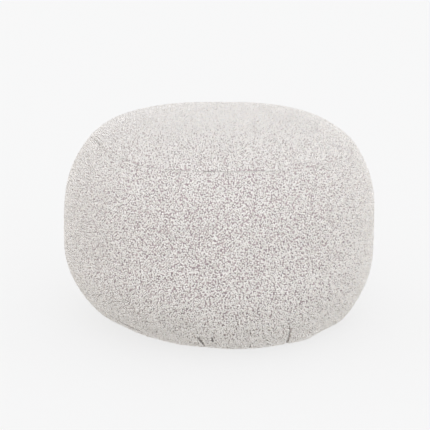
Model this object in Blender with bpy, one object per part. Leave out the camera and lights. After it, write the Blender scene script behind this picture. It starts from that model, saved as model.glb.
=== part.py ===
"""A filled pouf in nubby loop-yarn cloth: a round top panel, a side band and a flat base panel.

Run it with blender --background --python part.py, or from the text editor. Units are metres, +Z
is up, the floor is at z = 0 and the front is towards -Y. Azimuths are in degrees from the front,
positive towards +X.

Each piece is a turned profile that is then settled: leaned, dented and gathered as filled cloth is.
"""

import math
from typing import NamedTuple

import bmesh
import bpy

# Driving dimensions of the plain turned form.
WIDTH = 0.520  # over the fullest part of the side
HEIGHT = 0.350  # floor to the middle of the crown
EQUATOR_HEIGHT = 0.123  # of the fullest part of the side
CROWN_EXPONENT = 3.40  # 2 is an ellipse, and more gives a squarer shoulder
UNDERSIDE_EXPONENT = 2.02
UNDERSIDE_DEPTH = 0.182  # of the whole lower curve, which the floor cuts short
SEAM_RADIUS = 0.221  # of the seam between the top panel and the side band
SEAM_TUCK = 0.003  # how far the seam is drawn in
BASE_RADIUS = 0.162  # of the base panel
BASE_THICKNESS = 0.004
FLOOR_RADIUS = 0.174  # where the side band leaves the floor
ROLL_HEIGHT = 0.014  # of the tight roll between the floor and the lower curve
SEAM_GAP = 0.0004  # left between neighbouring pieces, upright, so that across a slope it is 0.3 mm
BASE_LEAN = 0.014  # how far the base sits to +X of the crown
SEGMENTS = 96  # round the turned form
PROBE = 0.0001  # a short step along a curve, to find its slope

HALF_WIDTH = WIDTH / 2
CROWN_DEPTH = HEIGHT - EQUATOR_HEIGHT


class TuckStep(NamedTuple):
    """How far in the cloth is drawn at one distance from the seam."""

    distance: float
    share: float


class SeamWander(NamedTuple):
    """How far the top seam lies above its mean height at one azimuth."""

    azimuth: float
    rise: float


class Gather(NamedTuple):
    """One pleat where the lower edge of the side band is drawn in."""

    azimuth: float
    depth: float
    half_angle: float
    top: float


class Swell(NamedTuple):
    """A broad place where the filling pushes the side out, or the cloth pulls it in."""

    azimuth: float
    height: float
    amount: float
    half_angle: float
    half_height: float


class Hollow(NamedTuple):
    """A shallow place in the crown, where the filling has settled."""

    x: float
    y: float
    depth: float
    half_width: float


TUCK_STEPS = (
    TuckStep(distance=0.016, share=0.0),
    TuckStep(distance=0.008, share=0.15),
    TuckStep(distance=0.003, share=0.60),
    TuckStep(distance=0.0, share=1.0),
)

SEAM_WANDERS = (
    SeamWander(azimuth=-180, rise=0.000),
    SeamWander(azimuth=-135, rise=-0.003),
    SeamWander(azimuth=-100, rise=0.004),
    SeamWander(azimuth=-75, rise=0.014),
    SeamWander(azimuth=-52, rise=0.009),
    SeamWander(azimuth=-30, rise=0.000),
    SeamWander(azimuth=0, rise=0.001),
    SeamWander(azimuth=40, rise=-0.004),
    SeamWander(azimuth=90, rise=-0.001),
    SeamWander(azimuth=135, rise=0.004),
)

GATHERS = (
    Gather(azimuth=-143, depth=0.005, half_angle=8, top=0.070),
    Gather(azimuth=-100, depth=0.004, half_angle=7, top=0.060),
    Gather(azimuth=-55, depth=0.006, half_angle=8, top=0.055),
    Gather(azimuth=-9, depth=0.004, half_angle=7, top=0.060),
    Gather(azimuth=35, depth=0.006, half_angle=7, top=0.080),
    Gather(azimuth=80, depth=0.004, half_angle=8, top=0.060),
    Gather(azimuth=128, depth=0.006, half_angle=8, top=0.075),
    Gather(azimuth=171, depth=0.004, half_angle=7, top=0.060),
)

SWELLS = (
    Swell(azimuth=-28, height=0.015, amount=-0.006, half_angle=20, half_height=0.040),
    Swell(azimuth=-90, height=0.130, amount=0.001, half_angle=25, half_height=0.030),
    Swell(azimuth=55, height=0.020, amount=-0.004, half_angle=14, half_height=0.030),
    Swell(azimuth=95, height=0.050, amount=0.002, half_angle=22, half_height=0.025),
    Swell(azimuth=92, height=0.220, amount=0.002, half_angle=25, half_height=0.030),
)

HOLLOWS = (
    Hollow(x=0.00, y=0.17, depth=0.004, half_width=0.050),
    Hollow(x=0.00, y=-0.20, depth=0.002, half_width=0.050),
)


def crown_point(radius):
    """The (radius, height) of the upper curve at a radius."""
    share = 1 - (radius / HALF_WIDTH) ** CROWN_EXPONENT
    return radius, EQUATOR_HEIGHT + CROWN_DEPTH * share ** (1 / CROWN_EXPONENT)


def shoulder_point(angle):
    """The (radius, height) of the upper curve at an angle, 0 at the equator and 90 degrees on top."""
    power = 2 / CROWN_EXPONENT
    radius = HALF_WIDTH * math.cos(angle) ** power
    return radius, EQUATOR_HEIGHT + CROWN_DEPTH * math.sin(angle) ** power


def underside_point(height):
    """The (radius, height) of the lower curve at a height."""
    drop = ((EQUATOR_HEIGHT - height) / UNDERSIDE_DEPTH) ** UNDERSIDE_EXPONENT
    return HALF_WIDTH * (1 - drop) ** (1 / UNDERSIDE_EXPONENT), height


def roll_point(share):
    """The (radius, height) of the roll, which leaves the lower curve at share 0 and lies flat at share 1."""
    start, _ = underside_point(ROLL_HEIGHT)
    above, _ = underside_point(ROLL_HEIGHT + PROBE)
    corner = start - ROLL_HEIGHT * (above - start) / PROBE
    rest = 1 - share
    radius = rest * rest * start + 2 * rest * share * corner + share * share * FLOOR_RADIUS
    return radius, rest * rest * ROLL_HEIGHT


def seam_edge(side):
    """Profile points that curl into the top seam. side is 1 on the top panel, -1 on the side band."""
    radius, height = crown_point(SEAM_RADIUS)
    _, lower = crown_point(SEAM_RADIUS + PROBE)
    along = math.atan2(lower - height, PROBE)
    points = []
    for step in TUCK_STEPS:
        on_curve = crown_point(radius - side * step.distance * math.cos(along))
        inward = SEAM_TUCK * step.share
        tucked_radius = on_curve[0] + inward * math.sin(along)
        tucked_height = on_curve[1] - inward * math.cos(along) + side * SEAM_GAP / 2
        points.append((tucked_radius, tucked_height))
    return points


def top_profile():
    """The top panel from the middle of the crown out to the seam and back to the axis inside."""
    rings = 10
    edge = seam_edge(1)
    crown = [crown_point(edge[0][0] * ring / rings) for ring in range(rings)]
    floor_height = edge[-1][1]
    return crown + edge + [(SEAM_RADIUS / 2, floor_height), (0, floor_height)]


def side_profile():
    """The side band from the axis under the top panel, down its outside, to the axis over the base."""
    shoulder_rings, lower_rings, roll_rings = 8, 7, 4
    edge = seam_edge(-1)[::-1]
    start = math.acos((edge[-1][0] / HALF_WIDTH) ** (CROWN_EXPONENT / 2))
    shoulder = [shoulder_point(start * (1 - ring / shoulder_rings)) for ring in range(1, shoulder_rings)]
    fall = EQUATOR_HEIGHT - ROLL_HEIGHT
    lower = [underside_point(EQUATOR_HEIGHT - fall * ring / lower_rings) for ring in range(lower_rings + 1)]
    roll = [roll_point(ring / roll_rings) for ring in range(1, roll_rings + 1)]
    recess_radius = BASE_RADIUS + SEAM_GAP
    recess_height = BASE_THICKNESS + SEAM_GAP
    recess = [(recess_radius, 0), (recess_radius, recess_height), (0, recess_height)]
    ceiling_height = edge[0][1]
    return [(0, ceiling_height), (SEAM_RADIUS / 2, ceiling_height)] + edge + shoulder + lower + roll + recess


def base_profile():
    """The base panel, a flat disc."""
    return [(0, BASE_THICKNESS), (BASE_RADIUS, BASE_THICKNESS), (BASE_RADIUS, 0), (0, 0)]


def turn_apart(azimuth, other):
    """The angle between two azimuths in degrees, from -180 to 180."""
    return (azimuth - other + 180) % 360 - 180


def smooth(share):
    """0 below 0, 1 above 1, and an even S between."""
    share = min(max(share, 0), 1)
    return share * share * (3 - 2 * share)


def bell(distance, half_width):
    """1 at the middle, a half at the half width, and soon 0."""
    return 0.5 ** ((distance / half_width) ** 2)


def seam_rise(azimuth):
    """The seam's wander at an azimuth, eased between the table's rows."""
    for here, after in zip(SEAM_WANDERS, SEAM_WANDERS[1:] + SEAM_WANDERS[:1]):
        span = (after.azimuth - here.azimuth) % 360
        past = (azimuth - here.azimuth) % 360
        if past <= span:
            return here.rise + (after.rise - here.rise) * smooth(past / span)
    return 0


def settled(radius, height, azimuth):
    """Where the uneven, filled pouf has a point of the turned form, as (x, y, z)."""
    near_seam = bell(height - crown_point(SEAM_RADIUS)[1], 0.020) * smooth(radius / SEAM_RADIUS)
    slide = seam_rise(azimuth) * near_seam
    radius -= slide
    height += slide
    low_edge = smooth((radius - BASE_RADIUS) / (FLOOR_RADIUS + ROLL_HEIGHT - BASE_RADIUS))
    for gather in GATHERS:
        drawn = bell(turn_apart(azimuth, gather.azimuth), gather.half_angle) * low_edge
        radius -= gather.depth * drawn * smooth(1 - height / gather.top)
    for swell in SWELLS:
        pushed = bell(turn_apart(azimuth, swell.azimuth), swell.half_angle)
        pushed *= bell(height - swell.height, swell.half_height) * smooth(radius / SEAM_RADIUS)
        radius += swell.amount * pushed
    turn = math.radians(azimuth)
    x, y = radius * math.sin(turn), -radius * math.cos(turn)
    on_crown = smooth((height - EQUATOR_HEIGHT) / CROWN_DEPTH)
    for hollow in HOLLOWS:
        apart = math.hypot(x - hollow.x, y - hollow.y)
        height -= hollow.depth * bell(apart, hollow.half_width) * on_crown
    lean = BASE_LEAN * max(1 - height / EQUATOR_HEIGHT, 0) ** 2
    return x + lean, y, height


def loop_yarn_cloth(name, colour):
    """A material for nubby cloth: soft, matt and pale."""
    material = bpy.data.materials.new(name)
    material.use_nodes = True
    shader = material.node_tree.nodes["Principled BSDF"]
    shader.inputs["Base Color"].default_value = (*colour, 1)
    shader.inputs["Roughness"].default_value = 0.95
    shader.inputs["Metallic"].default_value = 0
    return material


def add_piece(name, profile, material):
    """Turns a profile into a closed body about the upright axis, settles it and adds it to the scene."""
    mesh = bpy.data.meshes.new(name)
    body = bmesh.new()
    points = [body.verts.new((radius, 0, height)) for radius, height in profile]
    edges = [body.edges.new(pair) for pair in zip(points, points[1:])]
    bmesh.ops.spin(
        body,
        geom=points + edges,
        cent=(0, 0, 0),
        axis=(0, 0, 1),
        angle=math.tau,
        steps=SEGMENTS,
    )
    bmesh.ops.remove_doubles(body, verts=body.verts, dist=0.00001)
    for vertex in body.verts:
        x, y, z = vertex.co
        vertex.co = settled(math.hypot(x, y), z, math.degrees(math.atan2(x, -y)))
    bmesh.ops.recalc_face_normals(body, faces=body.faces)
    body.to_mesh(mesh)
    body.free()
    mesh.shade_smooth()
    mesh.set_sharp_from_angle(angle=math.radians(50))
    mesh.materials.append(material)
    piece = bpy.data.objects.new(name, mesh)
    bpy.context.scene.collection.objects.link(piece)
    return piece


def main():
    """Clears the scene and adds the three pieces."""
    for leftover in list(bpy.data.objects):
        bpy.data.objects.remove(leftover)
    add_piece("top_panel", top_profile(), loop_yarn_cloth("top_cloth", (0.70, 0.67, 0.65)))
    add_piece("side_band", side_profile(), loop_yarn_cloth("side_cloth", (0.64, 0.61, 0.59)))
    add_piece("base_panel", base_profile(), loop_yarn_cloth("base_cloth", (0.45, 0.43, 0.41)))


main()
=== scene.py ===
"""Looks of a round, filled pouf in looped-pile cloth.

The pouf is a soft drum about half a metre across. Its cover is three cuts of cloth: a round
crown, a side band and a flat base. Crown and band are one cloth, a knitted ground with thick,
soft loops of yarn crowded over it, and the base is a plain weave that only the floor touches.

Lengths are metres, +Z is up and the front is towards -Y. Azimuths are in degrees from the front,
positive towards +X.
"""

import logging
import math
from collections.abc import Callable, Iterator
from dataclasses import dataclass, field
from enum import Enum
from typing import Any

import bpy
import numpy as np
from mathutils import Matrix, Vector


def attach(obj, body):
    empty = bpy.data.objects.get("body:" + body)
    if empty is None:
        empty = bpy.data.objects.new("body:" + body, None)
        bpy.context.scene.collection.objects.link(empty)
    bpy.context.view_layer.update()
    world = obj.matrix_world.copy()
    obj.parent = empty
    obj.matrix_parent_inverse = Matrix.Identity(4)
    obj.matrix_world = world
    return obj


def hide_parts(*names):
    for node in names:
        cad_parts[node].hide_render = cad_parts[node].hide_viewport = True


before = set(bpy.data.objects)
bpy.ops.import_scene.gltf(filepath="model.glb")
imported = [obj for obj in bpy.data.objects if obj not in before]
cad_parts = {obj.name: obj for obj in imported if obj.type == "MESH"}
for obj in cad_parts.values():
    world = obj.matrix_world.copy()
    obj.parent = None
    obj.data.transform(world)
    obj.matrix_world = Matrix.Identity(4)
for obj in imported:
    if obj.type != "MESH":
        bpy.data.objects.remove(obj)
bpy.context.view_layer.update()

BAKE_MAP = "OFBake"
MM = 0.001
UP = Vector((0.0, 0.0, 1.0))
SHARP = math.radians(40)  # edges that turn more than this are rims

log = logging.getLogger("pouf")


class Slot(Enum):
    """The record's material slots."""

    LOOP_PILE = "loop_pile_cloth"
    BASE = "base_cloth"


class Mark(Enum):
    """Names of the attributes that carry the cloth's facts from mesh to material."""

    CLEAR = "clear"  # how far a spot is from the nearest bare line, negative on it
    SECTOR = "sector"  # which part of the cover a face is in, -1 where it is out of sight
    SHADE = "shade"  # how pale one loop's yarn is beside the rest


def linear(hex_code: str) -> tuple[float, float, float, float]:
    """Turns an sRGB hex colour to linear RGBA.

    Args:
        hex_code: Six hex digits, with or without a leading #.

    Returns:
        Red, green, blue and alpha, each from 0 to 1.
    """
    code = hex_code.lstrip("#")
    channels = [int(code[at : at + 2], 16) / 255 for at in (0, 2, 4)]
    red, green, blue = (c / 12.92 if c <= 0.04045 else ((c + 0.055) / 1.055) ** 2.4 for c in channels)
    return red, green, blue, 1.0


def feed(node: bpy.types.Node, feeds: dict[str, Any]) -> None:
    """Links or sets a node's inputs.

    Args:
        node: The node.
        feeds: For each input name, the output socket that feeds it or its plain value. Where
            inputs share a name, a number after a colon tells them apart.
    """
    for name, value in feeds.items():
        label, _, which = name.partition(":")
        socket = [s for s in node.inputs if s.name == label and s.enabled][int(which or 0)]
        if isinstance(value, bpy.types.NodeSocket):
            node.id_data.links.new(value, socket)
        else:
            socket.default_value = value


def add_node(
    tree: bpy.types.NodeTree, kind: str, feeds: dict[str, Any] | None = None, **settings: Any
) -> bpy.types.Node:
    """Adds a node with its settings and links.

    Args:
        tree: The tree that gets the node.
        kind: The node's type name.
        feeds: What its inputs get.
        settings: The node's own properties.

    Returns:
        The new node.
    """
    node = tree.nodes.new(kind)
    for name, value in settings.items():
        setattr(node, name, value)
    feed(node, feeds or {})
    return node


def out(node: bpy.types.Node, name: str = "") -> bpy.types.NodeSocket:
    """Returns a node's output that is in use, by name or the first."""
    return next(s for s in node.outputs if s.enabled and name in ("", s.name))


def new_material(name: str) -> tuple[bpy.types.Material, bpy.types.NodeTree, bpy.types.Node]:
    """Starts a material.

    Args:
        name: What it is and how it was made.

    Returns:
        The material, its tree and its shader.
    """
    made = bpy.data.materials.new(name)
    made.use_nodes = True
    return made, made.node_tree, made.node_tree.nodes["Principled BSDF"]


def select_only(piece: bpy.types.Object) -> None:
    """Makes one object the only selected one, and active."""
    bpy.ops.object.select_all(action="DESELECT")
    piece.select_set(True)
    bpy.context.view_layer.objects.active = piece


def apply(piece: bpy.types.Object, name: str) -> None:
    """Applies one modifier of a piece."""
    select_only(piece)
    bpy.ops.object.modifier_apply(modifier=name)


def positions(mesh: bpy.types.Mesh) -> np.ndarray:
    """Reads a mesh's vertices as rows of x, y, z."""
    flat = np.empty(len(mesh.vertices) * 3, np.float32)
    mesh.vertices.foreach_get("co", flat)
    return flat.reshape(-1, 3).astype(float)


def place(mesh: bpy.types.Mesh, points: np.ndarray) -> None:
    """Writes rows of x, y, z back to a mesh's vertices."""
    mesh.vertices.foreach_set("co", points.astype(np.float32).ravel())
    mesh.update()


def write(mesh: bpy.types.Mesh, mark: Mark, kind: str, domain: str, values: np.ndarray) -> None:
    """Stores values on a mesh under a mark's name.

    Args:
        mesh: The mesh that gets them.
        mark: The attribute.
        kind: Its data type.
        domain: What it has a value for.
        values: The values in the mesh's own order.
    """
    held = mesh.attributes.new(mark.value, kind, domain)
    held.data.foreach_set("value", values)


def azimuths(points: np.ndarray) -> np.ndarray:
    """Works out each point's azimuth in degrees."""
    return np.degrees(np.arctan2(points[:, 0], -points[:, 1]))


def azimuth(spot: Vector) -> float:
    """Works out one place's azimuth in degrees."""
    return math.degrees(math.atan2(spot.x, -spot.y))


def angle_between(azimuths_there: np.ndarray, azimuth_here: float) -> np.ndarray:
    """Measures how far each azimuth is from one, in degrees from -180 to 180."""
    return (azimuths_there - azimuth_here + 180) % 360 - 180


def smooth(share: np.ndarray) -> np.ndarray:
    """Eases a share from 0 to 1, and holds it outside."""
    held = np.clip(share, 0, 1)
    return held * held * (3 - 2 * held)


def nearest(points: np.ndarray, others: np.ndarray) -> np.ndarray:
    """Measures how far each point is from the nearest of some others."""
    blocks = np.array_split(points, 40)
    return np.concatenate([np.linalg.norm(b[:, None] - others[None], axis=2).min(1) for b in blocks])


def each_face(mesh: bpy.types.Mesh) -> Iterator[tuple[bpy.types.MeshPolygon, bool]]:
    """Gives each face of a cover whose sectors are marked, and whether it shows."""
    for face, sector in zip(mesh.polygons, mesh.attributes[Mark.SECTOR.value].data):
        yield face, sector.value >= 0


def outer_normals(mesh: bpy.types.Mesh) -> np.ndarray:
    """Averages the normals of the faces that show round each vertex.

    Args:
        mesh: A cover whose sectors are marked.

    Returns:
        One unit row for each vertex, or zeros where no face shows.
    """
    total = np.zeros((len(mesh.vertices), 3))
    for face, shows in each_face(mesh):
        if shows:
            total[list(face.vertices)] += np.array(face.normal) * face.area
    length = np.linalg.norm(total, axis=1, keepdims=True)
    return total / np.maximum(length, 1e-12)


def lay_flat(
    mesh: bpy.types.Mesh, lay: Callable[[bpy.types.MeshPolygon, np.ndarray], np.ndarray]
) -> None:
    """Gives a mesh its flat map.

    Args:
        mesh: The mesh.
        lay: Turns a face and its corners' places into rows of u and v from 0 to 1.
    """
    placed = positions(mesh)
    corners = np.zeros((len(mesh.loops), 2), np.float32)
    for face in mesh.polygons:
        rows = slice(face.loop_start, face.loop_start + face.loop_total)
        corners[rows] = lay(face, placed[list(face.vertices)])
    write_map(mesh, corners)


def write_map(mesh: bpy.types.Mesh, corners: np.ndarray) -> None:
    """Stores a flat map, as one row of u and v for each corner of each face."""
    mesh.uv_layers.new(name=BAKE_MAP).data.foreach_set("uv", corners.astype(np.float32).ravel())


# ---------------------------------------------------------------- finishes


@dataclass(frozen=True)
class Polyester:
    """What the cover's polyester yarns and cloths have in common: how they throw back light."""

    roughness: float = 0.95
    gloss: float = 0.15
    sheen: float = 1.0
    sheen_roughness: float = 0.6
    sheen_tint: str = "#FFF9F2"

    def sockets(self) -> dict[str, Any]:
        """Gives the values of the shader's own sockets."""
        return {
            "Roughness": self.roughness,
            "Specular IOR Level": self.gloss,
            "Sheen Weight": self.sheen,
            "Sheen Roughness": self.sheen_roughness,
            "Sheen Tint": linear(self.sheen_tint),
        }


@dataclass(frozen=True)
class LoopYarn(Polyester):
    """Brushed polyester loop yarn."""

    colour: str = "#FDFBFA"
    clump: float = 1.5 * MM  # length of the stretches in which the filaments mat together
    matted: float = 0.97  # how pale a matted stretch is beside a loose one
    loose: tuple[float, float] = (0.35, 0.65)  # noise at which a stretch is matted, and loose
    fibre: float = 0.7 * MM  # a fibre is 0.02 mm, drawn as coarse as it needs to show
    fluff: float = 0.4
    fluff_height: float = 0.3 * MM

    def material(self) -> bpy.types.Material:
        """Builds the yarn's material.

        Returns:
            The material, off-white and slightly uneven from strand to strand.
        """
        # Polyester filament, textured, knitted as open loops and brushed. Its fine fuzz scatters
        # light in all directions: a matt, soft off-white with no gloss, evenly lit round a loop.
        made, tree, shader = new_material("brushed_polyester_loop_yarn")
        spot = out(add_node(tree, "ShaderNodeTexCoord"), "Object")
        shade = add_node(tree, "ShaderNodeAttribute", attribute_name=Mark.SHADE.value)
        toned = add_node(
            tree, "ShaderNodeHueSaturation", {"Color": linear(self.colour), "Value": out(shade, "Fac")}
        )
        clumps = add_node(
            tree, "ShaderNodeTexNoise", {"Vector": spot, "Scale": 1 / self.clump, "Detail": 1.0}
        )
        matted = add_node(
            tree,
            "ShaderNodeMapRange",
            {
                "Value": out(clumps),
                "From Min": self.loose[0],
                "From Max": self.loose[1],
                "To Min": self.matted,
            },
        )
        mixed = add_node(tree, "ShaderNodeHueSaturation", {"Color": out(toned), "Value": out(matted)})
        fuzz = add_node(
            tree, "ShaderNodeTexNoise", {"Vector": spot, "Scale": 1 / self.fibre, "Detail": 2.0}
        )
        bump = add_node(
            tree,
            "ShaderNodeBump",
            {"Height": out(fuzz), "Strength": self.fluff, "Distance": self.fluff_height},
        )
        feed(shader, {"Base Color": out(mixed), "Normal": out(bump)} | self.sockets())
        return made


@dataclass(frozen=True)
class KnitGround(Polyester):
    """Warp-knitted ground cloth between the loops."""

    thread: str = "#CFC4C4"
    # Painted shade between the stitches, by share of the pouf's height: browner and darker towards the
    # bottom, where the belly turns under away from the light, mauve on the sides, and pale on the crown,
    # where light from above reaches down between the loops.
    painted_gap_shade: tuple[tuple[float, str], ...] = (
        (0.0, "#3C3329"),
        (0.1, "#63584F"),
        (0.3, "#8F8285"),
        (0.8, "#A3969A"),
        (0.92, "#B0A6A6"),
        (1.0, "#BDB4B3"),
    )
    height: float = 0.35  # of the pouf
    cell: float = 2.6 * MM  # a knitted stitch is 1.3 mm, drawn twice as coarse so that it shows
    stitch: float = 0.2  # share of the cell that the thread fills
    gap: float = 0.75  # share of the cell past which there is no thread
    lit: float = 0.98  # share of the light that gets down between the loops
    shut: float = 0.4  # share of the light that gets down into an open seam
    dim_from: float = -0.9 * MM  # how far past a bare line the ground is as dark as in the seam
    dim_to: float = 0.2 * MM  # and as light as between the loops
    relief: float = 0.8
    relief_height: float = 1.0 * MM
    roughness: float = 0.9
    sheen_roughness: float = 0.5

    def material(self) -> bpy.types.Material:
        """Builds the ground's material.

        Returns:
            The material, a mesh of pale stitches with painted shade between them.
        """
        # Warp-knitted polyester, unbrushed. The shade of the pile over it is painted between its stitches,
        # so it reads as dark specks between pale stitches, and its loose fibres pale it where one looks
        # along it.
        made, tree, shader = new_material("warp_knit_polyester_ground")
        spot = out(add_node(tree, "ShaderNodeTexCoord"), "Object")
        split = add_node(tree, "ShaderNodeSeparateXYZ", {"Vector": spot})
        level = add_node(
            tree,
            "ShaderNodeMath",
            {"Value:0": out(split, "Z"), "Value:1": self.height},
            operation="DIVIDE",
        )
        # Painted shade: the colour between the stitches darkens towards the bottom and pales towards the
        # crown.
        painted_shade_ramp = add_node(tree, "ShaderNodeValToRGB", {"Fac": out(level)})
        stops = painted_shade_ramp.color_ramp.elements
        stops[0].color, stops[1].color = linear(self.painted_gap_shade[0][1]), linear(self.painted_gap_shade[-1][1])
        for share, colour in self.painted_gap_shade[1:-1]:
            stops.new(share).color = linear(colour)
        stitches = add_node(tree, "ShaderNodeTexVoronoi", {"Vector": spot, "Scale": 1 / self.cell})
        edge = add_node(
            tree,
            "ShaderNodeMapRange",
            {"Value": out(stitches, "Distance"), "From Min": self.stitch, "From Max": self.gap},
            interpolation_type="SMOOTHSTEP",
        )
        knit = add_node(
            tree,
            "ShaderNodeMix",
            {"Factor": out(edge), "A": linear(self.thread), "B": out(painted_shade_ramp, "Color")},
            data_type="RGBA",
        )
        # Painted shade in the seams and creases: the ground darkens towards a bare line, to the share of
        # light that gets down there.
        clear = add_node(tree, "ShaderNodeAttribute", attribute_name=Mark.CLEAR.value)
        lit = add_node(
            tree,
            "ShaderNodeMapRange",
            {
                "Value": out(clear, "Fac"),
                "From Min": self.dim_from,
                "From Max": self.dim_to,
                "To Min": self.shut,
                "To Max": self.lit,
            },
        )
        shaded = add_node(tree, "ShaderNodeHueSaturation", {"Color": out(knit), "Value": out(lit)})
        bump = add_node(
            tree,
            "ShaderNodeBump",
            {"Height": out(stitches, "Distance"), "Strength": self.relief, "Distance": self.relief_height},
            invert=True,
        )
        feed(shader, {"Base Color": out(shaded), "Normal": out(bump)} | self.sockets())
        return made


@dataclass(frozen=True)
class PlainWeave(Polyester):
    """Plain-woven base cloth."""

    warp: str = "#9B9894"
    weft: str = "#87837F"
    pitch: float = 1.2 * MM  # two threads of 0.6 mm
    unevenness: float = 0.4
    relief: float = 0.7
    relief_height: float = 0.3 * MM
    roughness: float = 0.85
    gloss: float = 0.25
    sheen: float = 0.0  # its threads are calendered flat

    def material(self) -> bpy.types.Material:
        """Builds the base cloth's material.

        Returns:
            The material, with crossing threads in colour and relief.
        """
        # Plain-woven polyester, dyed mid grey and calendered. Warp over weft gives a fine, even
        # check, nearly matt, with a slight gleam on the crowns of the threads.
        made, tree, shader = new_material("plain_woven_polyester_base_cloth")
        spot = out(add_node(tree, "ShaderNodeTexCoord"), "Object")
        # A wave node's bands are tau / 20 apart at a scale of one.
        scale = math.tau / 20 / self.pitch
        threads = [
            add_node(
                tree,
                "ShaderNodeTexWave",
                {"Vector": spot, "Scale": scale, "Distortion": self.unevenness},
                bands_direction=direction,
            )
            for direction in ("X", "Y")
        ]
        over = add_node(
            tree,
            "ShaderNodeMath",
            {"Value:0": out(threads[0], "Fac"), "Value:1": out(threads[1], "Fac")},
            operation="MULTIPLY",
        )
        colour = add_node(
            tree,
            "ShaderNodeMix",
            {"Factor": out(over), "A": linear(self.weft), "B": linear(self.warp)},
            data_type="RGBA",
        )
        bump = add_node(
            tree,
            "ShaderNodeBump",
            {"Height": out(over), "Strength": self.relief, "Distance": self.relief_height},
        )
        feed(shader, {"Base Color": out(colour), "Normal": out(bump)} | self.sockets())
        return made


@dataclass(frozen=True)
class LightTable:
    """Opal acrylic of a light table, which stands for the floor."""

    colour: str = "#6E6E6E"
    glow: float = 0.748

    def material(self) -> bpy.types.Material:
        """Builds the acrylic's material.

        Returns:
            The material, which glows white and takes only a faint shadow.
        """
        # Cast opal acrylic, sanded and lit from below: an even white with no gloss.
        made, _, shader = new_material("sanded_opal_acrylic")
        feed(
            shader,
            {
                "Base Color": linear(self.colour),
                "Roughness": 1.0,
                "Specular IOR Level": 0.0,
                "Emission Color": linear("#FFFFFF"),
                "Emission Strength": self.glow,
            },
        )
        return made


# ---------------------------------------------------------------- the cover's shape


@dataclass(frozen=True)
class Lump:
    """A place where the filling pushes the cover out, or where it has gone slack."""

    azimuth: float
    height: float
    out: float
    half_angle: float
    half_height: float

    def share(self, placed: np.ndarray) -> np.ndarray:
        """Tells how much of the lump each place gets, from 0 to 1."""
        aside = np.abs(angle_between(azimuths(placed), self.azimuth)) / self.half_angle
        over = np.abs(placed[:, 2] - self.height) / self.half_height
        return smooth(1 - aside) * smooth(1 - over)


@dataclass(frozen=True)
class Crease:
    """A short seam or fold that runs up from the base."""

    azimuth: float
    low: float
    top: float
    width: float  # on each side of its line
    depth: float
    lean: float = 0.0  # degrees that it leans as it rises, positive towards the left
    foot: float = 0.19  # its distance from the axis
    reach: float = 12.0  # degrees to each side within which it is looked for

    def across(self) -> Vector:
        """Gives the unit way across the crease."""
        turn, lean = math.radians(self.azimuth), math.radians(self.lean)
        level = Vector((math.cos(turn), math.sin(turn), 0.0))
        return level * math.cos(lean) + UP * math.sin(lean)

    def start(self) -> Vector:
        """Gives the crease's lowest place."""
        turn = math.radians(self.azimuth)
        return Vector((math.sin(turn), -math.cos(turn), 0.0)) * self.foot + UP * self.low

    def aside(self, placed: np.ndarray) -> np.ndarray:
        """Measures how far each place is from the crease's line."""
        return np.abs((placed - np.array(self.start())) @ np.array(self.across()))

    def share(self, placed: np.ndarray) -> np.ndarray:
        """Tells how open the crease is at each height, from 0 to 1, and 0 on other sides."""
        here = np.abs(angle_between(azimuths(placed), self.azimuth)) < self.reach
        risen = (placed[:, 2] - self.low) / (self.top - self.low)
        return here * (risen >= -0.2) * smooth((1 - risen) * 3)


@dataclass(frozen=True)
class CoverShape:
    """How the filled cover departs from a plain round shape."""

    lumps: tuple[Lump, ...] = (
        Lump(68.0, 0.018, 7 * MM, 12.0, 0.03),
        Lump(40.0, 0.008, 10 * MM, 14.0, 0.025),
        Lump(-66.0, 0.02, 5 * MM, 10.0, 0.03),
        Lump(-33.0, 0.01, -4 * MM, 12.0, 0.025),
        Lump(-95.0, 0.328, 5.0 * MM, 80.0, 0.021),
        Lump(95.0, 0.328, 3.2 * MM, 80.0, 0.021),
    )
    creases: tuple[Crease, ...] = (
        Crease(33.0, 0.0, 0.064, 1.9 * MM, 3.0 * MM, 24.0),
        Crease(-5.7, 0.0, 0.046, 2.1 * MM, 3.0 * MM, 18.0),
        Crease(-2.7, 0.024, 0.042, 1.9 * MM, 2.5 * MM),
        Crease(13.8, 0.004, 0.022, 2.3 * MM, 2.5 * MM),
        Crease(-41.5, 0.027, 0.046, 4.0 * MM, 5.0 * MM, 70.0, 0.2),
    )
    # How open the crown's seam is by azimuth, from 0, where loops cover it, to 1.
    opened: tuple[tuple[float, float], ...] = (
        (-180.0, 0.4),
        (-130.0, 0.2),
        (-85.0, 0.35),
        (-67.0, 0.3),
        (-31.0, 0.1),
        (-9.0, 0.0),
        (-4.0, 0.6),
        (17.0, 0.6),
        (23.0, 0.0),
        (100.0, 0.0),
        (150.0, 0.45),
    )
    tuck: float = 3.0 * MM  # how far the seam lies in from the curve of the cover
    tuck_reach: float = 16 * MM
    bare_shut: float = -0.6 * MM  # how far the loops keep from the seam where it is shut
    bare_open: float = 1.2 * MM  # and where it is open
    bare_base: float = 4.0 * MM  # how far they keep from the base
    push_centre: float = 0.12  # height over which lumps are pushed upwards as well

    def push_out(self, placed: np.ndarray) -> np.ndarray:
        """Moves places out by the lumps that they are in.

        Args:
            placed: The places.

        Returns:
            The moved places, none of them under the floor.
        """
        way = placed * (1.0, 1.0, 0.0)
        way[:, 2] = np.maximum(placed[:, 2] - self.push_centre, 0)
        way /= np.maximum(np.linalg.norm(way, axis=1, keepdims=True), 1e-9)
        amount = sum((lump.share(placed) * lump.out for lump in self.lumps), np.zeros(len(placed)))
        return placed + way * amount[:, None]

    def openness(self, placed: np.ndarray) -> np.ndarray:
        """Tells how open the crown's seam is at each place's azimuth."""
        knots, shares = zip(*self.opened)
        return np.interp(azimuths(placed), knots, shares, period=360)


# ---------------------------------------------------------------- sub-assemblies


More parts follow.
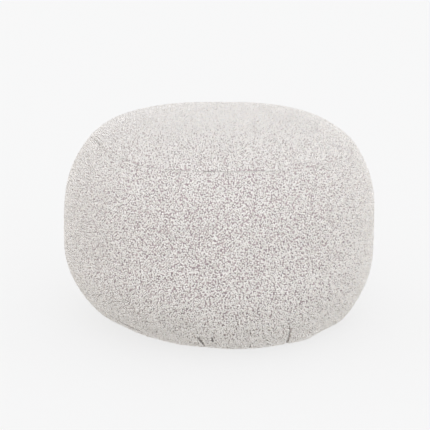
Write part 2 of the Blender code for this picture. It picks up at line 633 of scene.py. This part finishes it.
@dataclass
class FilledCover:
    """One filled cut of the cover: the ground cloth that the loops stand on."""

    node: str
    piece: str
    ground: bpy.types.Material
    shape: CoverShape
    sectors: int = 1
    pile: float = 2.0 * MM  # how far the ground lies under the cover's curve
    tread: float = 2.2 * MM  # the same where the pouf's weight presses the loops to the floor
    trodden_to: float = 6 * MM
    seam_above: float = 0.2  # rims higher than this are the crown's seam
    swell_cap: float = 1.2 * MM  # the most that the filling presses the cloth out
    pressure: float = 30.0
    fill: float = 0.9
    steps: int = 20
    made: bpy.types.Object = field(init=False)

    def build(self) -> bpy.types.Object:
        """Makes the ground cloth from its construction solid.

        Returns:
            The finished ground cloth, riding on the frame.
        """
        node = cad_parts[self.node]
        self.made = bpy.data.objects.new(self.piece, node.data.copy())
        bpy.context.scene.collection.objects.link(self.made)
        self.clean()
        self.mark_sectors()
        self.settle()
        self.sew()
        self.mark_clear()
        lay_flat(self.made.data, self.spread_out)
        self.dress()
        return self.made

    def hidden(self, face: bpy.types.MeshPolygon) -> bool:
        """Tells whether a face closes the filled shape out of sight."""
        raise NotImplementedError

    def clean(self) -> None:
        """Welds the loose triangles into quads with creased rims."""
        select_only(self.made)
        bpy.ops.object.mode_set(mode="EDIT")
        bpy.ops.mesh.select_mode(type="VERT")
        bpy.ops.mesh.select_all(action="SELECT")
        bpy.ops.mesh.remove_doubles(threshold=0.01 * MM)
        bpy.ops.mesh.tris_convert_to_quads()
        bpy.ops.mesh.normals_make_consistent(inside=False)
        bpy.ops.mesh.select_all(action="DESELECT")
        bpy.ops.mesh.edges_select_sharp(sharpness=SHARP)
        bpy.ops.transform.edge_crease(value=1.0)
        bpy.ops.object.mode_set(mode="OBJECT")

    def subdivide(self) -> None:
        """Rounds the cloth with one level of subdivision."""
        level = self.made.modifiers.new("rounding", "SUBSURF")
        level.levels = 1
        level.render_levels = 1
        apply(self.made, level.name)

    def mark_sectors(self) -> None:
        """Numbers the parts of the cloth round the axis, and marks the hidden faces with -1."""
        mesh = self.made.data
        turn = 360 / self.sectors
        numbers = [
            -1 if self.hidden(face) else int(((azimuth(face.center) + turn / 2) % 360) // turn)
            for face in mesh.polygons
        ]
        write(mesh, Mark.SECTOR, "INT", "FACE", np.array(numbers, np.int32))

    def outside(self) -> tuple[np.ndarray, np.ndarray]:
        """Tells the cloth that shows from the faces that close the shape.

        Returns:
            Whether each vertex touches a face that shows, and whether it is on the rim of one.
        """
        mesh = self.made.data
        shows = np.zeros(len(mesh.vertices), bool)
        closes = np.zeros(len(mesh.vertices), bool)
        for face, seen in each_face(mesh):
            (shows if seen else closes)[list(face.vertices)] = True
        return shows, shows & closes

    def looseness(self) -> np.ndarray:
        """Tells how free each vertex is to swell, from 0 at rims and on the floor to 1."""
        placed = positions(self.made.data)
        shows, rim = self.outside()
        risen = smooth(placed[:, 2] / (2 * self.trodden_to))
        return shows * risen * smooth(nearest(placed, placed[rim]) / self.shape.tuck_reach)

    def sink(self, depth: float) -> None:
        """Draws the ground in under the pile, straight in along the seams.

        Args:
            depth: How far the loose cloth goes in besides, to swell out again.
        """
        mesh = self.made.data
        shows, rim = self.outside()
        placed = positions(mesh)
        ways = -outer_normals(mesh)
        flat = placed * (-1.0, -1.0, 0.0)
        ways[rim] = flat[rim] / np.linalg.norm(flat[rim], axis=1, keepdims=True)
        trodden = smooth(placed[:, 2] / self.trodden_to)
        reach = self.tread + (self.pile - self.tread) * trodden + depth * self.looseness()
        seam = placed[rim & (placed[:, 2] > self.seam_above)]
        beside = 1 - smooth(nearest(placed, seam) / self.shape.tuck_reach)
        reach -= self.shape.tuck * beside * (1 - self.shape.openness(placed))
        sunk = self.shape.push_out(placed) + ways * (reach * shows)[:, None]
        sunk[:, 2] = self.keep_over(placed, sunk[:, 2], shows & ~rim)
        place(mesh, sunk)

    def keep_over(self, placed: np.ndarray, heights: np.ndarray, free: np.ndarray) -> np.ndarray:
        """Keeps the sunk cloth from passing through the faces that close it."""
        return heights

    def settle(self) -> None:
        """Draws the ground in, lets the filling press it out, and rounds it."""
        loose = self.looseness()
        self.sink(self.swell_cap)
        self.swell(loose)
        self.subdivide()
        select_only(self.made)
        bpy.ops.object.shade_smooth_by_angle(angle=SHARP)

    def swell(self, loose: np.ndarray) -> None:
        """Presses the filling against the cloth.

        Args:
            loose: How free each vertex is, from 0 to 1.
        """
        mesh = self.made.data
        start = positions(mesh)
        held = self.made.vertex_groups.new(name="held")
        for index, free in enumerate(loose):
            held.add([index], 1.0 - float(free), "REPLACE")
        cloth = self.made.modifiers.new("filling", "CLOTH")
        settings = cloth.settings
        settings.use_pressure = True
        settings.uniform_pressure_force = self.pressure
        settings.effector_weights.gravity = 0.0
        settings.vertex_group_mass = held.name
        settings.quality = 5
        scene = bpy.context.scene
        for step in range(self.steps):
            scene.frame_set(step + 1)
        apply(self.made, cloth.name)
        moved = positions(mesh) - start
        length = np.linalg.norm(moved, axis=1)
        log.info("%s swelled by %.1f mm on average", self.piece, length.mean() / MM)
        share = np.minimum(1.0, self.swell_cap * loose / np.maximum(length, 1e-9))
        place(mesh, start + moved * share[:, None])
        scene.frame_set(1)
        self.made.vertex_groups.clear()

    def sew(self) -> None:
        """Sews what is particular to this cut; a plain one has nothing."""

    def bare_width(self, placed: np.ndarray) -> np.ndarray:
        """Tells how far the loops keep from a rim at each place."""
        shape = self.shape
        seam = shape.bare_shut + (shape.bare_open - shape.bare_shut) * shape.openness(placed)
        return np.where(placed[:, 2] > self.seam_above, seam, shape.bare_base)

    def mark_clear(self) -> None:
        """Writes on each vertex how far it is past the bare strips along rims and creases."""
        mesh = self.made.data
        placed = positions(mesh)
        _, rim = self.outside()
        clear = nearest(placed, placed[rim]) - self.bare_width(placed)
        for crease in self.shape.creases:
            share = crease.share(placed)
            beside = crease.aside(placed) - crease.width * share
            clear = np.where(share > 0, np.minimum(clear, beside), clear)
        write(mesh, Mark.CLEAR, "FLOAT", "POINT", clear.astype(np.float32))

    def spread_out(self, face: bpy.types.MeshPolygon, points: np.ndarray) -> np.ndarray:
        """Lays one face of the cloth on the flat map, its own cut apart from what is hidden."""
        raise NotImplementedError

    def sector(self, face: bpy.types.MeshPolygon) -> int:
        """Reads which part of the cover a face is in."""
        return self.made.data.attributes[Mark.SECTOR.value].data[face.index].value

    def dress(self) -> None:
        """Gives the cloth its material, hangs it on the root body and hides the construction part it
        stands for.
        """
        self.made.data.materials.clear()
        self.made.data.materials.append(self.ground)
        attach(self.made, "root")
        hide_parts(self.node)
        log.info("%s has %d faces", self.piece, len(self.made.data.polygons))


@dataclass
class CrownCover(FilledCover):
    """The round top panel, from the middle of the crown to the seam."""

    widest: float = 0.23

    def hidden(self, face: bpy.types.MeshPolygon) -> bool:
        """Tells whether a face is on the flat underside."""
        return face.normal.z < -0.97

    def keep_over(self, placed: np.ndarray, heights: np.ndarray, free: np.ndarray) -> np.ndarray:
        """Keeps the crown over the flat face that closes it.

        Args:
            placed: Each vertex before it sank.
            heights: Its height after it sank.
            free: Whether it is on the crown and not on its rim.

        Returns:
            The heights, held a little over the seam beside them.
        """
        _, rim = self.outside()
        order = np.argsort(azimuths(placed[rim]))
        knots, levels = azimuths(placed[rim])[order], placed[rim][order, 2]
        seam = np.interp(azimuths(placed), knots, levels, period=360)
        return np.where(free, np.maximum(heights, seam + 0.2 * MM), heights)

    def spread_out(self, face: bpy.types.MeshPolygon, points: np.ndarray) -> np.ndarray:
        """Lays a face of the crown on the map's left side, and one of its underside on the right."""
        middle, half = ((0.8, 0.5), 0.19) if self.sector(face) < 0 else ((0.3, 0.5), 0.29)
        return points[:, :2] / self.widest * half + middle


@dataclass
class BandCover(FilledCover):
    """The side band, from the seam down to the base and a little way under it."""

    recess: float = 0.1624
    lean: float = 0.014
    ring: tuple[float, float] = (0.12, 0.15)  # radius and height that the profile turns round
    widest: float = 0.24
    cut_reach: float = 10.0  # degrees to each side of a crease in which faces are cut
    cut_over: float = 12 * MM  # how far over it

    def hidden(self, face: bpy.types.MeshPolygon) -> bool:
        """Tells whether a face is on the flat top or in the recess for the base."""
        under = math.hypot(face.center.x - self.lean, face.center.y) < self.recess + 0.1 * MM
        return face.normal.z > 0.97 or (under and face.center.z < 10 * MM)

    def sew(self) -> None:
        """Cuts the join and the folds near the base into the ground, as narrow grooves."""
        for crease in self.shape.creases:
            for offset in (-crease.width, 0.0, crease.width):
                self.cut(crease, offset)
            mesh = self.made.data
            placed = positions(mesh)
            on_line = crease.aside(placed) < 0.05 * MM
            depth = crease.depth * crease.share(placed) * on_line
            sunk = placed - outer_normals(mesh) * depth[:, None]
            sunk[:, 2] = np.maximum(sunk[:, 2], np.minimum(placed[:, 2], 0.2 * MM))
            place(mesh, sunk)

    def cut(self, crease: Crease, offset: float) -> None:
        """Cuts an edge line into the faces round a crease.

        Args:
            crease: The crease.
            offset: How far the cut lies beside its line.
        """
        select_only(self.made)
        for face in self.made.data.polygons:
            beside = abs((azimuth(face.center) - crease.azimuth + 180) % 360 - 180)
            face.select = beside < self.cut_reach and face.center.z < crease.top + self.cut_over
        bpy.ops.object.mode_set(mode="EDIT")
        bpy.ops.mesh.select_mode(type="FACE")
        across = crease.across()
        bpy.ops.mesh.bisect(plane_co=crease.start() + across * offset, plane_no=across)
        bpy.ops.object.mode_set(mode="OBJECT")

    def spread_out(self, face: bpy.types.MeshPolygon, points: np.ndarray) -> np.ndarray:
        """Lays a face of the band on the map's upper part, and a hidden one on a disc under it."""
        if self.sector(face) < 0:
            middle = (0.17, 0.17) if face.center.z > self.seam_above else (0.52, 0.17)
            return points[:, :2] / self.widest * 0.15 + middle
        here = azimuth(face.center)
        round_about = here + angle_between(azimuths(points), here)
        out_from = np.hypot(points[:, 0], points[:, 1]) - self.ring[0]
        risen = np.arctan2(points[:, 2] - self.ring[1], out_from)
        return np.stack([0.5 + round_about / 370, 0.69 + risen / math.pi * 0.6], axis=1)


@dataclass(frozen=True)
class LoopForm:
    """One way in which a loop of yarn has set."""

    name: str
    turn: float  # degrees of a full ring
    height: float  # beside a round loop's
    twist: float  # degrees from foot to crown


@dataclass
class LoopPile:
    """The crowd of yarn loops that stands on the ground cloth."""

    yarn: bpy.types.Material
    thickness: float = 3.9 * MM  # of the yarn, over its fuzz
    bend: float = 1.2 * MM  # radius of a loop's middle line
    spacing: float = 2.2 * MM  # least distance between two loops
    sides: int = 3
    steps: int = 3
    lean: float = 50.0  # most degrees that a loop leans over its side
    nod: float = 0.3  # most radians that it leans along its arc
    flat: float = 0.75  # how far the pile is pressed down by packing, 1 for not at all
    dullest: float = 0.99  # how pale the dullest loop is beside the palest
    smallest: float = 0.95
    largest: float = 1.05
    tries: float = 400000.0  # roots tried for each square metre before the crowded ones go
    floor_gap: float = 0.5 * MM
    forms: tuple[LoopForm, ...] = (
        LoopForm("arch", 220.0, 1.0, 0.0),
        LoopForm("hook", 260.0, 0.9, 40.0),
        LoopForm("curl", 300.0, 0.9, -60.0),
        LoopForm("wave", 240.0, 1.1, 85.0),
        LoopForm("knot", 320.0, 0.8, 20.0),
    )
    kinds: bpy.types.Collection = field(init=False)

    def model_kinds(self) -> None:
        """Models each form of loop once."""
        self.kinds = bpy.data.collections.new("loop_kinds")
        for form in self.forms:
            self.kinds.objects.link(self.model(form))

    def model(self, form: LoopForm) -> bpy.types.Object:
        """Models one loop: a ring of yarn spun round an arc, with its ends drawn to a point.

        Args:
            form: The loop's form.

        Returns:
            The loop, standing on its feet at the origin.
        """
        bpy.ops.object.select_all(action="DESELECT")
        bpy.ops.mesh.primitive_circle_add(
            vertices=self.sides, radius=self.thickness / 2, location=(self.bend, 0, 0)
        )
        loop = bpy.context.object
        loop.name = "loop_" + form.name
        bpy.ops.object.transform_apply(location=True, rotation=False, scale=False)
        bpy.ops.object.mode_set(mode="EDIT")
        bpy.ops.mesh.select_all(action="SELECT")
        turn = math.radians(form.turn)
        bpy.ops.mesh.spin(steps=self.steps, angle=turn, center=(0, 0, 0), axis=(0, 1, 0))
        bpy.ops.mesh.select_mode(type="VERT")
        for last in (False, True):
            bpy.ops.mesh.select_all(action="DESELECT")
            bpy.ops.object.mode_set(mode="OBJECT")
            vertices = loop.data.vertices
            ring = range(len(vertices) - self.sides, len(vertices)) if last else range(self.sides)
            for index in ring:
                vertices[index].select = True
            bpy.ops.object.mode_set(mode="EDIT")
            bpy.ops.mesh.merge(type="CENTER")
        bpy.ops.mesh.select_all(action="SELECT")
        bpy.ops.mesh.normals_make_consistent(inside=False)
        # Turned the other way round than in a window, so a positive angle stands the loop up.
        bpy.ops.transform.rotate(
            value=(math.pi - turn) / 2, orient_axis="Y", center_override=(0, 0, 0)
        )
        bpy.ops.transform.resize(value=(1, 1, form.height * self.flat), center_override=(0, 0, 0))
        bpy.ops.object.mode_set(mode="OBJECT")
        if form.twist:
            twist = loop.modifiers.new("twist", "SIMPLE_DEFORM")
            twist.deform_method = "TWIST"
            twist.deform_axis = "Z"
            twist.angle = math.radians(form.twist)
            apply(loop, twist.name)
        loop.data.shade_smooth()
        loop.data.materials.append(self.yarn)
        bpy.context.scene.collection.objects.unlink(loop)
        return loop

    def grow(self, cover: FilledCover, name: str, sector: int, seed: int) -> bpy.types.Object:
        """Grows loops over one part of a cover.

        Args:
            cover: The ground cloth to stand on.
            name: The new piece's name.
            sector: Which part of the cover gets them.
            seed: Starts the random draws.

        Returns:
            The loops as one mesh, riding on the frame.
        """
        grown = bpy.data.objects.new(name, cover.made.data.copy())
        bpy.context.scene.collection.objects.link(grown)
        planting = grown.modifiers.new("planting", "NODES")
        planting.node_group = self.planting(sector, seed)
        apply(grown, planting.name)
        grown.data.materials.clear()
        grown.data.materials.append(self.yarn)
        self.press_down(grown)
        self.unwrap(grown.data)
        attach(grown, "root")
        grown.data.calc_loop_triangles()
        log.info("%s has %d triangles", name, len(grown.data.loop_triangles))
        return grown

    def press_down(self, grown: bpy.types.Object) -> None:
        """Flattens the loops that the floor presses on."""
        placed = positions(grown.data)
        placed[:, 2] = np.maximum(placed[:, 2], self.floor_gap)
        place(grown.data, placed)

    def unwrap(self, mesh: bpy.types.Mesh) -> None:
        """Lays each loop's yarn in a cell of its own on a flat map, one small field for each face."""
        faces = len(mesh.polygons)
        per_loop = self.sides * self.steps
        across = math.ceil(math.sqrt(faces / per_loop))
        starts = np.empty(faces, np.int32)
        mesh.polygons.foreach_get("loop_start", starts)
        face = np.repeat(np.arange(faces), np.diff(np.append(starts, len(mesh.loops))))
        corner = np.arange(len(mesh.loops)) - starts[face]
        cell, at = face // per_loop, face % per_loop
        fields = np.array([[0.05, 0.05], [0.95, 0.05], [0.95, 0.95], [0.05, 0.95]])
        u = (cell % across + (at % self.steps + fields[corner, 0]) / self.steps) / across
        v = (cell // across + (at // self.steps + fields[corner, 1]) / self.sides) / across
        for layer in list(mesh.uv_layers):
            mesh.uv_layers.remove(layer)
        write_map(mesh, np.stack([u, v], axis=1))

    def planting(self, sector: int, seed: int) -> bpy.types.NodeTree:
        """Builds the nodes that stand loops on the ground cloth.

        Args:
            sector: Which part of the cloth gets loops.
            seed: Starts the random draws.

        Returns:
            The node group.
        """
        tree = bpy.data.node_groups.new("planting", "GeometryNodeTree")
        tree.interface.new_socket("Cloth", in_out="INPUT", socket_type="NodeSocketGeometry")
        tree.interface.new_socket("Loops", in_out="OUTPUT", socket_type="NodeSocketGeometry")
        cloth = add_node(tree, "NodeGroupInput")
        roots = add_node(
            tree,
            "GeometryNodeDistributePointsOnFaces",
            {
                "Mesh": out(cloth, "Cloth"),
                "Distance Min": self.spacing,
                "Density Max": self.tries,
                "Seed": seed,
            },
            distribute_method="POISSON",
        )
        clear, where = (
            add_node(tree, "GeometryNodeInputNamedAttribute", {"Name": mark.value}, data_type=kind)
            for mark, kind in ((Mark.CLEAR, "FLOAT"), (Mark.SECTOR, "INT"))
        )
        past = add_node(
            tree,
            "FunctionNodeCompare",
            {"A": out(clear, "Attribute"), "B": 0.0},
            data_type="FLOAT",
            operation="GREATER_THAN",
        )
        here = add_node(
            tree,
            "FunctionNodeCompare",
            {"A": out(where, "Attribute"), "B": sector},
            data_type="INT",
            operation="EQUAL",
        )
        both = add_node(
            tree,
            "FunctionNodeBooleanMath",
            {"Boolean:0": out(past), "Boolean:1": out(here)},
            operation="AND",
        )
        kinds = add_node(
            tree,
            "GeometryNodeCollectionInfo",
            {"Collection": self.kinds, "Separate Children": True, "Reset Children": True},
        )
        lean = math.radians(self.lean)
        draws = (
            ("FLOAT_VECTOR", (-lean, -self.nod, 0.0), (lean, self.nod, math.tau)),
            ("FLOAT", self.smallest, self.largest),
            ("FLOAT", self.dullest, 1.0),
        )
        way, size, shade = (
            add_node(
                tree,
                "FunctionNodeRandomValue",
                {"Min": least, "Max": most, "Seed": seed + after},
                data_type=kind,
            )
            for after, (kind, least, most) in enumerate(draws, start=1)
        )
        turned = add_node(tree, "FunctionNodeEulerToRotation", {"Euler": out(way)})
        stood = add_node(
            tree,
            "FunctionNodeRotateRotation",
            {"Rotation": out(roots, "Rotation"), "Rotate By": out(turned)},
            rotation_space="LOCAL",
        )
        loops = add_node(
            tree,
            "GeometryNodeInstanceOnPoints",
            {
                "Points": out(roots, "Points"),
                "Selection": out(both),
                "Instance": out(kinds),
                "Pick Instance": True,
                "Rotation": out(stood),
                "Scale": out(size),
            },
        )
        shaded = add_node(
            tree,
            "GeometryNodeStoreNamedAttribute",
            {"Geometry": out(loops), "Name": Mark.SHADE.value, "Value": out(shade)},
            data_type="FLOAT",
            domain="INSTANCE",
        )
        real = add_node(tree, "GeometryNodeRealizeInstances", {"Geometry": out(shaded)})
        add_node(tree, "NodeGroupOutput", {"Loops": out(real)})
        return tree


@dataclass
class BaseCloth:
    """The flat round base: one cloth with its edge turned under, sewn tight across the bottom."""

    weave: bpy.types.Material
    node: str = "base_panel"
    piece: str = "base_panel_cloth"
    radius: float = 0.160
    lean: float = 0.014
    level: float = 1.6 * MM
    thickness: float = 1.0 * MM
    hem: float = 11 * MM
    rings: int = 12
    cut_side: float = 0.324  # the cloth's flat size, with a square's sides round its circle

    def build(self) -> bpy.types.Object:
        """Makes the base cloth.

        Returns:
            The finished cloth, riding on the frame.
        """
        bpy.ops.object.select_all(action="DESELECT")
        bpy.ops.mesh.primitive_circle_add(
            vertices=96, radius=self.radius, fill_type="NGON", location=(self.lean, 0, self.level)
        )
        made = bpy.context.object
        made.name = self.piece
        bpy.ops.object.transform_apply(location=True, rotation=False, scale=False)
        bpy.ops.object.mode_set(mode="EDIT")
        bpy.ops.mesh.select_mode(type="FACE")
        bpy.ops.mesh.select_all(action="SELECT")
        step = (self.radius - self.hem) / self.rings
        for width in (2 * MM, self.hem - 4 * MM, 2 * MM, *(step for _ in range(self.rings - 1))):
            bpy.ops.mesh.inset(thickness=width)
        bpy.ops.mesh.poke()
        bpy.ops.object.mode_set(mode="OBJECT")
        self.pucker(made)
        body = made.modifiers.new("cloth_thickness", "SOLIDIFY")
        body.thickness = self.thickness
        body.offset = 0.0
        apply(made, body.name)
        made.data.shade_smooth()
        lay_flat(made.data, self.spread_out)
        made.data.materials.append(self.weave)
        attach(made, "root")
        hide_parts(self.node)
        log.info("%s has %d faces", self.piece, len(made.data.polygons))
        return made

    def pucker(self, made: bpy.types.Object) -> None:
        """Draws the cloth into shallow puckers along its hem, and bellies it a little between."""
        placed = positions(made.data)
        from_axis = placed - (self.lean, 0.0, 0.0)
        inward = self.radius - np.hypot(from_axis[:, 0], from_axis[:, 1])
        round_about = np.radians(azimuths(from_axis))
        pulled = smooth(inward / (2 * MM)) * (1 - smooth((inward - self.hem) / (3 * self.hem)))
        waves = 0.3 * MM * np.cos(31 * round_about + 1.3 * np.sin(5 * round_about)) * pulled
        belly = -0.7 * MM * smooth((inward - self.hem) / (5 * self.hem))
        stitched = -0.4 * MM * np.exp(-(((inward - self.hem + 1 * MM) / (1.2 * MM)) ** 2))
        placed[:, 2] += waves + belly - stitched
        place(made.data, placed)

    def spread_out(self, face: bpy.types.MeshPolygon, points: np.ndarray) -> np.ndarray:
        """Lays a face of the under side on the left of the flat map, and of the upper on the right."""
        middle = 0.25 if face.normal.z < 0 else 0.75
        return (points[:, :2] - (self.lean, 0.0)) / self.radius * 0.24 + (middle, 0.5)


@dataclass
class Studio:
    """A light table in a bright room, with a soft lamp over a camera that looks slightly down."""

    table: LightTable = field(default_factory=LightTable)
    floor_side: float = 40.0
    # The room's strength at the walls, overhead and underfoot, and its tints: a little warmer
    # from the walls than from overhead.
    walls: float = 1.38
    overhead: float = 1.06
    underfoot: float = 0.14
    wall_tint: str = "#FFFCF7"
    overhead_tint: str = "#F9FAFD"
    lamp: float = 0.9
    lamp_width: float = 70.0  # degrees that it spans, seen from the pouf
    lamp_tint: str = "#EAF4FF"
    lamp_from: Vector = field(default_factory=lambda: Vector((0.22, -1.0, 0.32)))
    distance: float = 2.08  # of the camera from the pouf's middle
    elevation: float = 15.0  # degrees that it stands above that
    lens: float = 103.4
    sensor: float = 36.0
    aim: Vector = field(default_factory=lambda: Vector((-0.0066, 0.0, 0.1712)))
    middle: Vector = field(default_factory=lambda: Vector((0.0, 0.0, 0.175)))

    def build(self) -> None:
        """Sets floor, light and camera."""
        self.lay_floor()
        self.light_room()
        self.hang_lamp()
        self.stand_camera()
        bpy.context.scene.view_settings.view_transform = "Standard"

    def lay_floor(self) -> None:
        """Lays the floor."""
        bpy.ops.object.select_all(action="DESELECT")
        bpy.ops.mesh.primitive_plane_add(size=self.floor_side)
        floor = bpy.context.object
        floor.name = "studio_floor"
        floor.visible_diffuse = False  # the table is to be seen only, and lights no cloth
        floor.data.materials.append(self.table.material())

    def light_room(self) -> None:
        """Lights the room all round: brightest at the walls and nearly dark underfoot."""
        world = bpy.data.worlds.new("white_room")
        world.use_nodes = True
        tree = world.node_tree
        way = out(add_node(tree, "ShaderNodeTexCoord"), "Generated")
        split = add_node(tree, "ShaderNodeSeparateXYZ", {"Vector": way})
        below = add_node(
            tree,
            "ShaderNodeMapRange",
            {
                "Value": out(split, "Z"),
                "From Min": -1.0,
                "From Max": 0.0,
                "To Min": self.underfoot,
                "To Max": self.walls,
            },
        )
        above = add_node(
            tree,
            "ShaderNodeMapRange",
            {"Value": out(split, "Z"), "To Min": 0.0, "To Max": self.overhead - self.walls},
        )
        glow = add_node(
            tree, "ShaderNodeMath", {"Value:0": out(below), "Value:1": out(above)}, operation="ADD"
        )
        tint = add_node(
            tree,
            "ShaderNodeMix",
            {"Factor": out(split, "Z"), "A": linear(self.wall_tint), "B": linear(self.overhead_tint)},
            data_type="RGBA",
        )
        feed(tree.nodes["Background"], {"Strength": out(glow), "Color": out(tint, "Result")})
        bpy.context.scene.world = world

    def hang_lamp(self) -> None:
        """Hangs one very broad, soft lamp over the camera, a little to its right."""
        lamp = bpy.data.lights.new("front_softbox", "SUN")
        lamp.energy = self.lamp
        lamp.color = linear(self.lamp_tint)[:3]
        lamp.angle = math.radians(self.lamp_width)
        hung = bpy.data.objects.new("front_softbox", lamp)
        hung.rotation_euler = (-self.lamp_from).to_track_quat("-Z", "Y").to_euler()
        bpy.context.scene.collection.objects.link(hung)

    def stand_camera(self) -> None:
        """Stands the camera in front, looking slightly down."""
        turn = math.radians(self.elevation)
        camera = bpy.data.cameras.new("front_camera")
        camera.lens = self.lens
        camera.sensor_width = self.sensor
        stood = bpy.data.objects.new("front_camera", camera)
        stood.location = self.middle + self.distance * Vector((0.0, -math.cos(turn), math.sin(turn)))
        stood.rotation_euler = (self.aim - stood.location).to_track_quat("-Z", "Y").to_euler()
        bpy.context.scene.collection.objects.link(stood)
        bpy.context.scene.camera = stood


def main() -> None:
    """Builds the pouf's pieces and the studio."""
    logging.basicConfig(level=logging.INFO, format="%(name)s: %(message)s")
    Studio().build()
    ground = KnitGround().material()
    shape = CoverShape()
    crown = CrownCover("top_panel", "top_panel_ground", ground, shape, sectors=2)
    band = BandCover("side_band", "side_band_ground", ground, shape, sectors=4)
    crown.build()
    band.build()
    pile = LoopPile(LoopYarn().material())
    pile.model_kinds()
    for sector, side in enumerate(("front", "back")):
        pile.grow(crown, f"top_panel_loops_{side}", sector, 11)
    for sector, side in enumerate(("front", "right", "back", "left")):
        pile.grow(band, f"side_band_loops_{side}", sector, 23)
    BaseCloth(PlainWeave().material()).build()


if __name__ == "__main__":
    main()
